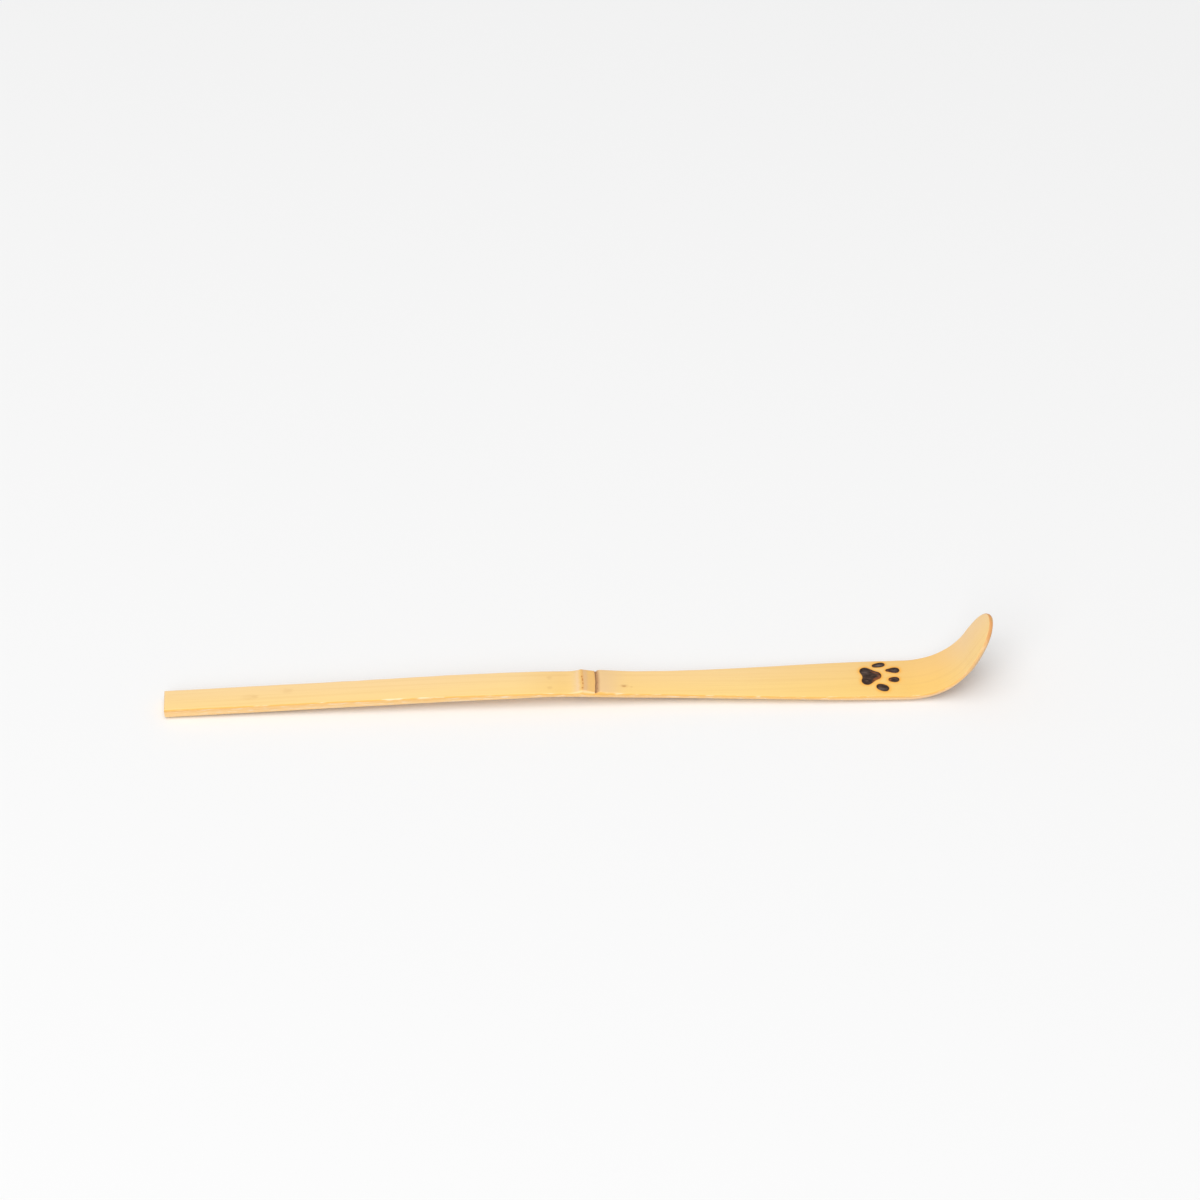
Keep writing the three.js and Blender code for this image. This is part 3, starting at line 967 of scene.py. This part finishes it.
def ridgeMaterial():
    f = ridgeFinish
    material, tree, shader = newMaterial("nodeRidge")
    place, station, (cut, _, _) = stripInputs(tree)
    fibre = fibreInputs(tree, place)
    fromCrest = minus(tree, station, ridgeStation)
    stray = grainNoise(tree, place, f["strayGrain"], f["strayDetail"])
    # painted highlight before the crest and painted shade beyond it, taken from the tones by distance
    tone = tonesAlong(tree, plus(tree, fromCrest, swing(tree, stray, f["stray"])), f["tonesWithPaintedLight"])
    tone = blendTone(tree, fade(tree, fibre["Fine"], f["fineFade"]), tone, rindFinish["fibre"])
    tone = blendTone(tree, fade(tree, fromCrest, f["toneFade"]), skinTone(tree, place, fibre), tone)
    height, reach = f["budHeight"]
    for (ahead, across), size in ridgeBuds:
        spot = spotMask(tree, place, (ridgeStation + ahead, across, height), (*size, reach))
        tone = blendTone(tree, times(tree, spot, f["budShare"]), tone, f["bud"])
    onNode = fade(tree, minus(tree, station, nodeStation), f["nodeFade"])
    pared = times(tree, fade(tree, cut, f["paredFade"]), onNode)
    tone = blendTone(tree, pared, tone, f["pared"])
    wideCut = times(tree, fade(tree, cut, rindFinish["cutFade"]), minus(tree, 1.0, onNode))
    thinCut = times(tree, fade(tree, cut, f["cutFade"]), onNode)
    tone = blendTone(tree, plus(tree, wideCut, thinCut), tone, cutTone(tree, place, station))
    rough = span(tree, onNode, 0.0, 1.0, rindFinish["roughness"], f["roughness"])
    rough = plus(tree, rough, times(tree, fibre["Fine"], f["fibreRough"]))
    uneven = times(tree, times(tree, stray, onNode), f["uneven"])
    finishSurface(tree, shader, tone, rough, plus(tree, fibre["Fine"], uneven), f["bump"])
    return material


# Flesh: pale wood, with darker bundles of fibres along it and an underside painted darker as shade
fleshFinish = {
    "deep": tint(250, 202, 127),  # next to the rind
    "pale": tint(252, 214, 148),
    "paleFade": (0.0, 0.5, 1.0),
    "bundle": tint(240, 178, 96),
    "bundleGrain": (0.03, 2.6, 2.6),
    "bundleSpread": 0.85,
    "bundleFade": (0.32, 0.1, 1.0),
    "bundleShare": (0.25, 0.75),  # underneath, and next to the rind
    "blush": tint(250, 204, 154),
    "blushShare": 0.3,
    "fineShare": 0.2,
    "splinterAndGlint": tint(252, 232, 202),
    "fleckGrain": (0.4, 2.0, 3.2),
    "fleckDetail": 3.0,
    "fleckFade": (0.52, 0.7, 0.7),
    "splinterGlintSpot": ((64.2, -3.0, 1.0), (5.0, 1.0, 0.5)),  # centre and half size of one long splinter, painted pale as the highlight its facet catches
    "splinterGlintShare": 0.8,
    "under": [  # the pared underside by station, painted darker towards the bend as shade, which also deepens the contact shadow on the floor
        (0.0, tint(248, 192, 114)),
        (105.0, tint(242, 184, 108)),
        (130.0, tint(206, 150, 90)),
        (152.0, tint(180, 126, 76)),
        (174.0, tint(178, 124, 76)),
        (188.0, tint(206, 152, 94)),
    ],
    "underShadeFade": (0.7, 0.2, 1.0),
    "underGrain": 0.35,  # how much of the fibres shows there
    "pith": tint(242, 204, 164),
    "pithDepth": (0.06, 0.3, 1.0),
    "pithRun": (132.0, 154.0, 0.7),
    "roughness": 0.62,
    "fibreRough": 0.15,
    "bump": 0.05 * mm,
}


def fleshMaterial():
    f = fleshFinish
    material, tree, shader = newMaterial("bambooFlesh")
    place, station, (wall, _, depth) = stripInputs(tree)
    fibre = fibreInputs(tree, place)
    tone = blendTone(tree, fade(tree, depth, f["paleFade"]), f["deep"], f["pale"])
    cells = stretched(tree, place, f["bundleGrain"])
    inputs = {"Vector": cells, "Scale": 1.0, "Randomness": f["bundleSpread"]}
    bundles = put(tree, "ShaderNodeTexVoronoi", inputs).outputs["Distance"]
    lines = times(tree, fade(tree, bundles, f["bundleFade"]), span(tree, depth, 1.0, 0.0, *f["bundleShare"]))
    tone = blendTone(tree, lines, tone, f["bundle"])
    tone = blendTone(tree, times(tree, fibre["Streak"], f["blushShare"]), tone, f["blush"])
    tone = blendTone(tree, times(tree, fibre["Fine"], f["fineShare"]), tone, f["bundle"])
    flecks = grainNoise(tree, place, f["fleckGrain"], f["fleckDetail"])
    tone = blendTone(tree, fade(tree, flecks, f["fleckFade"]), tone, f["splinterAndGlint"])
    # painted shade: the underside darker towards the bend
    under = blendTone(tree, f["underGrain"], tonesAlong(tree, station, f["under"]), tone)
    tone = blendTone(tree, fade(tree, wall, f["underShadeFade"]), tone, under)
    pithy = times(tree, fade(tree, depth, f["pithDepth"]), fade(tree, station, f["pithRun"]))
    tone = blendTone(tree, times(tree, pithy, wall), tone, f["pith"])
    # painted highlight: one long pale splinter on the near wall
    splinterAndGlint = spotMask(tree, place, *f["splinterGlintSpot"])
    tone = blendTone(tree, times(tree, splinterAndGlint, f["splinterGlintShare"]), tone, f["splinterAndGlint"])
    tone = blendTone(tree, wall, tone, roundEndTone(tree, station, tone))
    rough = plus(tree, f["roughness"], times(tree, fibre["Fine"], f["fibreRough"]))
    finishSurface(tree, shader, tone, rough, plus(tree, fibre["Fine"], bundles), f["bump"])
    return material


# Sheath scar: a corky line
scarFinish = {
    "across": [  # by distance from its start, as shares of its width
        (0.0, tint(200, 154, 106)),
        (0.25, tint(154, 116, 82)),
        (0.5, tint(184, 142, 102)),
        (1.0, tint(212, 170, 122)),
    ],
    "cork": tint(134, 96, 66),
    "corkGrain": (5.0, 2.2, 4.0),
    "corkDetail": 4.0,
    "corkFade": (0.45, 0.7, 0.45),
    "cutFade": (0.1, 0.5, 1.0),
    "roughness": (0.2, 0.8, 0.85, 1.0),  # the noise's low and high, and the roughness at each
    "bump": 0.1 * mm,
}


def scarMaterial():
    f = scarFinish
    material, tree, shader = newMaterial("sheathScar")
    place, station, (cut, _, _) = stripInputs(tree)
    cork = grainNoise(tree, place, f["corkGrain"], f["corkDetail"])
    share = span(tree, station, scarStation, bladeStation, kind="LINEAR")
    tone = tonesAlong(tree, share, f["across"])
    tone = blendTone(tree, fade(tree, cork, f["corkFade"]), tone, f["cork"])
    tone = blendTone(tree, fade(tree, cut, f["cutFade"]), tone, rindFinish["cutEdge"])
    finishSurface(tree, shader, tone, span(tree, cork, *f["roughness"]), cork, f["bump"])
    return material


# Partition stub: torn pith, patterned in the frame's metres
stubFinish = {
    "pith": tint(214, 170, 112),
    "torn": tint(160, 112, 64),
    "tornGrain": (1600.0, 1600.0, 1600.0),
    "tornDetail": 5.0,
    "tornFade": (0.35, 0.68, 1.0),
    "roughness": (0.2, 0.8, 0.8, 1.0),  # as for the scar
    "bump": 0.1 * mm,
}


def stubMaterial():
    f = stubFinish
    material, tree, shader = newMaterial("partitionStub")
    coordinates = put(tree, "ShaderNodeTexCoord").outputs["Object"]
    torn = grainNoise(tree, coordinates, f["tornGrain"], f["tornDetail"])
    tone = blendTone(tree, fade(tree, torn, f["tornFade"]), f["pith"], f["torn"])
    finishSurface(tree, shader, tone, span(tree, torn, *f["roughness"]), torn, f["bump"])
    return material


# Burnt places: a sooty crust, only singed brown in places, with a painted grey glint on some
charFinish = {
    "soot": tint(49, 31, 21),
    "ash": tint(86, 62, 50),
    "ashFade": (0.45, 0.7, 1.0),
    "glintGrey": tint(116, 100, 92),
    "glintCrust": (0.3, 0.55, 0.5, 1.0),
    "singe": tint(152, 84, 40),
    "singeFade": (0.15, 0.9, 1.0),
    "singeCrust": (0.3, 0.6, 0.5, 1.0),
    "crustGrain": (1.1, 2.6, 2.0),
    "crustDetail": 4.0,
    "roughness": (0.3, 0.7, 0.26, 0.51),  # as for the scar
    "specular": 0.38,
    "bump": 0.06 * mm,
}


def charMaterial():
    f = charFinish
    material, tree, shader = newMaterial("burntChar")
    place, _, (_, singe, glinted) = stripInputs(tree)
    crust = grainNoise(tree, place, f["crustGrain"], f["crustDetail"])
    tone = blendTone(tree, fade(tree, crust, f["ashFade"]), f["soot"], f["ash"])
    # painted highlight: grey glint patches on the crust
    tone = blendTone(tree, times(tree, glinted, span(tree, crust, *f["glintCrust"])), tone, f["glintGrey"])
    patchy = times(tree, fade(tree, singe, f["singeFade"]), span(tree, crust, *f["singeCrust"]))
    tone = blendTone(tree, patchy, tone, f["singe"])
    shader.inputs["Specular IOR Level"].default_value = f["specular"]
    finishSurface(tree, shader, tone, span(tree, crust, *f["roughness"]), crust, f["bump"])
    return material


bambooRind = rindMaterial()
nodeRidgeSkin = ridgeMaterial()
bambooFlesh = fleshMaterial()
scarCork = scarMaterial()
stubPith = stubMaterial()
burntChar = charMaterial()
print("materials:", len(bpy.data.materials))


def addRind(name, cadNode, material, stations, rows):
    finishPiece(shapeStrip(stripBlank(stations, rows), placeRind), name, cadNode, material)


def addFlesh(name, cadNode, stations, rows):
    blank = shapeStrip(stripBlank(stations, rows, flesh["wallCuts"]), placeFlesh)
    finishPiece(blank, name, cadNode, bambooFlesh)


# Handle, from the cut heel to the foot of the ridge
handle = {"heelSteps": [0.0, 0.05, 0.1, 0.16, 0.24, 0.32, 0.4], "evenFrom": 0.6, "step": 0.8, "rows": 40}
handleRun = evenStations(handle["evenFrom"], nodeStation, handle["step"])
handleStations = handle["heelSteps"] + closeEnds(handleRun)
handleRows = acrossRows(handle["rows"])
addRind("handleRind", "handle_rind", bambooRind, handleStations, handleRows)
addFlesh("handleFlesh", "handle_flesh", handleStations, handleRows)

# Node, its sheath scar and the flesh under them
nodeMesh = {"step": 0.15, "scarStep": 0.07, "rows": 56}
ridgeStations = closeEnds(evenStations(nodeStation, scarStation, nodeMesh["step"]))
scarStations = evenStations(scarStation, bladeStation, nodeMesh["scarStep"])
nodeRows = acrossRows(nodeMesh["rows"])
addRind("nodeRidge", "node_ridge", nodeRidgeSkin, ridgeStations, nodeRows)
finishPiece(shapeStrip(stripBlank(scarStations, nodeRows), placeScar),
            "sheathScar", "sheath_scar", scarCork)
addFlesh("nodeFlesh", "node_flesh", ridgeStations[:-1] + scarStations, nodeRows)

# What is left of the partition wall, torn almost flush under the ridge
stub = {
    "cuts": 14,
    "bevel": 0.12 * mm,
    "bevelSegments": 2,
    "tear": 0.06 * mm,
    "tornDepth": 0.2 * mm,
    "grain": 0.5 * mm,
}


def partitionStub():
    low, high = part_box("diaphragm_stub")
    blank = bmesh.new()
    bmesh.ops.create_cube(blank, size=1.0)
    bmesh.ops.scale(blank, vec=high - low - Vector((stub["tear"], stub["tear"], 0)), verts=blank.verts[:])
    bmesh.ops.translate(blank, vec=(low + high) / 2, verts=blank.verts[:])
    bmesh.ops.bevel(blank, geom=blank.edges[:], offset=stub["bevel"], offset_type="OFFSET",
                    segments=stub["bevelSegments"], profile=0.5, affect="EDGES", material=-1)
    bmesh.ops.subdivide_edges(blank, edges=blank.edges[:], cuts=stub["cuts"], use_grid_fill=True)
    for vert in blank.verts:
        under = smoothStep(-vert.co.z, -(low.z + stub["tornDepth"]), -low.z)
        vert.co.z += under * stub["tear"] * noise.noise(vert.co / stub["grain"])
    return blank


finishPiece(partitionStub(), "partitionStub", "diaphragm_stub", stubPith)

# Blade, with the burnt places let into its rind
blade = {
    "lipStep": 0.16,
    "lipRun": 4.0,
    "step": 0.8,
    "markStep": 0.13,
    "endStep": 0.35,
    "rows": 100,
    "fleshRows": 48,
}
lipRunEnd = bladeStation + blade["lipRun"]
bladeSkinStations = (
    evenStations(bladeStation, lipRunEnd, blade["lipStep"])
    + evenStations(lipRunEnd, markStart, blade["step"])[1:]
    + evenStations(markStart, markEnd, blade["markStep"])[1:]
    + evenStations(markEnd, bendStation, blade["endStep"])[1:]
)
bladeStations = evenStations(bladeStation, bendStation, blade["step"])
bladeSkin = shapeStrip(stripBlank(closeEnds(bladeSkinStations), acrossRows(blade["rows"])), placeRind)
finishPiece(cutAlongOutlines(bladeSkin), "bladeRind", "blade_rind", bambooRind)
addFlesh("bladeFlesh", "blade_flesh", closeEnds(bladeStations), acrossRows(blade["fleshRows"]))

# Bowl, with steps that close up round its end
bowl = {"step": 0.35, "rows": 56, "tipSteps": 34}
roundSteps = [roundStation + strip["tipRounding"] * math.sin(i / bowl["tipSteps"] * math.pi / 2)
              for i in range(1, bowl["tipSteps"] + 1)]
bowlStations = closeStart(evenStations(bendStation, roundStation, bowl["step"]) + roundSteps)
bowlRows = acrossRows(bowl["rows"])
addRind("bowlRind", "bowl_rind", bambooRind, bowlStations, bowlRows)
addFlesh("bowlFlesh", "bowl_flesh", bowlStations, bowlRows)

# Burnt places: glossy lumps that lie below the skin
char = {
    "segments": 96,
    "rings": 44,
    "wallShare": 0.3,
    "gap": 0.015,
    "rimDepth": 0.17,
    "crownDepth": 0.07,
    "crownShape": 4,  # more keeps the crown flat further out, and likewise the lumps on it
    "foot": 0.02,
    "lump": 0.03,
    "lumpShape": 6,
    "lumpGrain": (0.7, 0.5),
    "singeFocus": 3,
    "singeReach": (0.3, 0.95),  # from the centre to the rim, as shares
}
# where each place is only singed brown: directions from its centre, in degrees, and how much
singes = {
    "palmChar": [(55, 0.7), (-42, 1.0)],
    "toeChar1": [(190, 0.35)],
    "toeChar2": [(205, 0.8)],
    "toeChar3": [(180, 1.0)],
    "toeChar4": [(250, 0.3)],
}
# where one carries a painted glint, grey as the light its glossy crust reflects: the patch's place from its
# centre, its half size and how much
charGlints = {
    "palmChar": ((-1.2, 1.1), (0.8, 0.6), 0.35),
    "toeChar1": ((0.1, 0.0), (0.9, 0.35), 0.9),
    "toeChar2": ((0.5, 0.05), (0.6, 0.4), 0.45),
    "toeChar3": ((0.4, 0.0), (0.4, 0.3), 0.1),
    "toeChar4": ((-0.3, -0.3), (0.9, 0.3), 0.8),
}


def singeAt(place, angle, reach):
    singe = 0.0
    for turn, amount in singes[place["name"]]:
        facing = clamp(math.cos(angle - math.radians(turn)))
        singe += amount * facing ** char["singeFocus"]
    return clamp(singe * smoothStep(reach, *char["singeReach"]))


def glintAt(place, station, y):
    (ahead, side), (long, wide), amount = charGlints[place["name"]]
    fromPatch = Vector(((station - place["centre"].x - ahead) / long, (y - place["centre"].y - side) / wide))
    return amount * math.exp(-fromPatch.length_squared)


def charLump(place):
    # a ball, flattened into the outline: the masks are how far it is singed and how much painted glint it
    # carries
    blank = newBlank()
    stripPlace = blank.verts.layers.float_vector["stripPlace"]
    stripMask = blank.verts.layers.float_vector["stripMask"]
    bmesh.ops.create_uvsphere(blank, u_segments=char["segments"], v_segments=char["rings"], radius=1.0)
    wall = char["wallShare"]
    for vert in blank.verts:
        angle = math.atan2(vert.co.y, vert.co.x)
        reach = clamp(math.hypot(vert.co.x, vert.co.y) / math.sqrt(1 - wall ** 2))
        radius = (outlineRadius(place, angle) - char["gap"]) * reach
        station = place["centre"].x + radius * math.cos(angle)
        y = place["centre"].y + radius * math.sin(angle)
        skin = skinHeight(station, y)
        sunk = char["crownDepth"] + (char["rimDepth"] - char["crownDepth"]) * reach ** char["crownShape"]
        inward = 1 - reach ** char["lumpShape"]
        lump = char["lump"] * layerNoise("lump", station, y, char["lumpGrain"]) * inward
        share = clamp((vert.co.z + wall) / (2 * wall))
        floor = skin - mark["recess"] - char["foot"]
        height = floor + (skin - sunk + lump - floor) * share
        vert[stripPlace] = Vector((station, y, height))
        vert[stripMask] = Vector((0.0, singeAt(place, angle, reach), glintAt(place, station, y)))
        vert.co = bendStrip(station, y, height)
    return blank


for place in burntPlaces:
    finishPiece(charLump(place), place["name"], place["cadNode"], burntChar)

# Camera, at the photograph's angle
view = {
    "elevation": math.radians(45.0),
    "yaw": math.radians(2.708),
    "target": Vector((6.2867, 28.4829, 0.75)) * mm,
    "distance": 1.0,
    "sensor": 36.0,
    "focalPixels": 4486.35,
    "imagePixels": 1200,
    "nearest": 0.01,
    "farthest": 20.0,
}


def placeCamera():
    look = Vector((
        math.sin(view["yaw"]) * math.cos(view["elevation"]),
        math.cos(view["yaw"]) * math.cos(view["elevation"]),
        -math.sin(view["elevation"]),
    ))
    lens = bpy.data.cameras.new("camera")
    lens.sensor_width = view["sensor"]
    lens.lens = view["focalPixels"] / view["imagePixels"] * view["sensor"]
    lens.clip_start = view["nearest"]
    lens.clip_end = view["farthest"]
    camera = bpy.data.objects.new("camera", lens)
    camera.location = view["target"] - view["distance"] * look
    camera.rotation_euler = look.to_track_quat("-Z", "Y").to_euler()
    bpy.context.scene.collection.objects.link(camera)
    bpy.context.scene.camera = camera


placeCamera()

# Pale floor under an even sky, a broad soft light overhead and a lower one from the front
studio = {
    "floorSize": 3.0,
    "floorDrop": 0.02 * mm,
    "floorTone": tint(243, 243, 243),
    "floorRoughness": 0.9,
    "skyLevel": 0.46,
    "skySeen": 0.95,  # as the camera sees it
    "lamps": [
        {"name": "overhead", "place": Vector((-0.2, -0.6, 2.3)), "size": 2.2, "power": 29.2},
        {"name": "front", "place": Vector((-0.7, -1.75, 1.6)), "size": 2.0, "power": 19.3},
    ],
}


def paleFloor():
    blank = bmesh.new()
    bmesh.ops.create_grid(blank, x_segments=2, y_segments=2, size=studio["floorSize"])
    bmesh.ops.translate(blank, vec=(0.0, 0.0, -studio["floorDrop"]), verts=blank.verts[:])
    mesh = bpy.data.meshes.new("floor")
    blank.to_mesh(mesh)
    blank.free()
    material, _, shader = newMaterial("paleFloor")
    shader.inputs["Base Color"].default_value = studio["floorTone"]
    shader.inputs["Roughness"].default_value = studio["floorRoughness"]
    shader.inputs["Specular IOR Level"].default_value = 0.0
    mesh.materials.append(material)
    floor = bpy.data.objects.new("floor", mesh)
    bpy.context.scene.collection.objects.link(floor)


def softLight():
    world = bpy.data.worlds.new("studio")
    world.use_nodes = True
    tree = world.node_tree
    rays = put(tree, "ShaderNodeLightPath").outputs
    seen = calc(tree, "MAXIMUM", rays["Is Camera Ray"], rays["Is Transmission Ray"])
    sky = tree.nodes["Background"]
    sky.inputs["Color"].default_value = (1.0, 1.0, 1.0, 1.0)
    level = span(tree, seen, 0.0, 1.0, studio["skyLevel"], studio["skySeen"])
    tree.links.new(level, sky.inputs["Strength"])
    bpy.context.scene.world = world
    for lamp in studio["lamps"]:
        light = bpy.data.lights.new(lamp["name"], "AREA")
        light.shape = "DISK"
        light.size = lamp["size"]
        light.energy = lamp["power"]
        softbox = bpy.data.objects.new(lamp["name"], light)
        softbox.location = lamp["place"]
        softbox.rotation_euler = (-lamp["place"]).to_track_quat("-Z", "Y").to_euler()
        bpy.context.scene.collection.objects.link(softbox)


paleFloor()
softLight()
bpy.context.scene.view_settings.view_transform = "Standard"
print("studio ready")
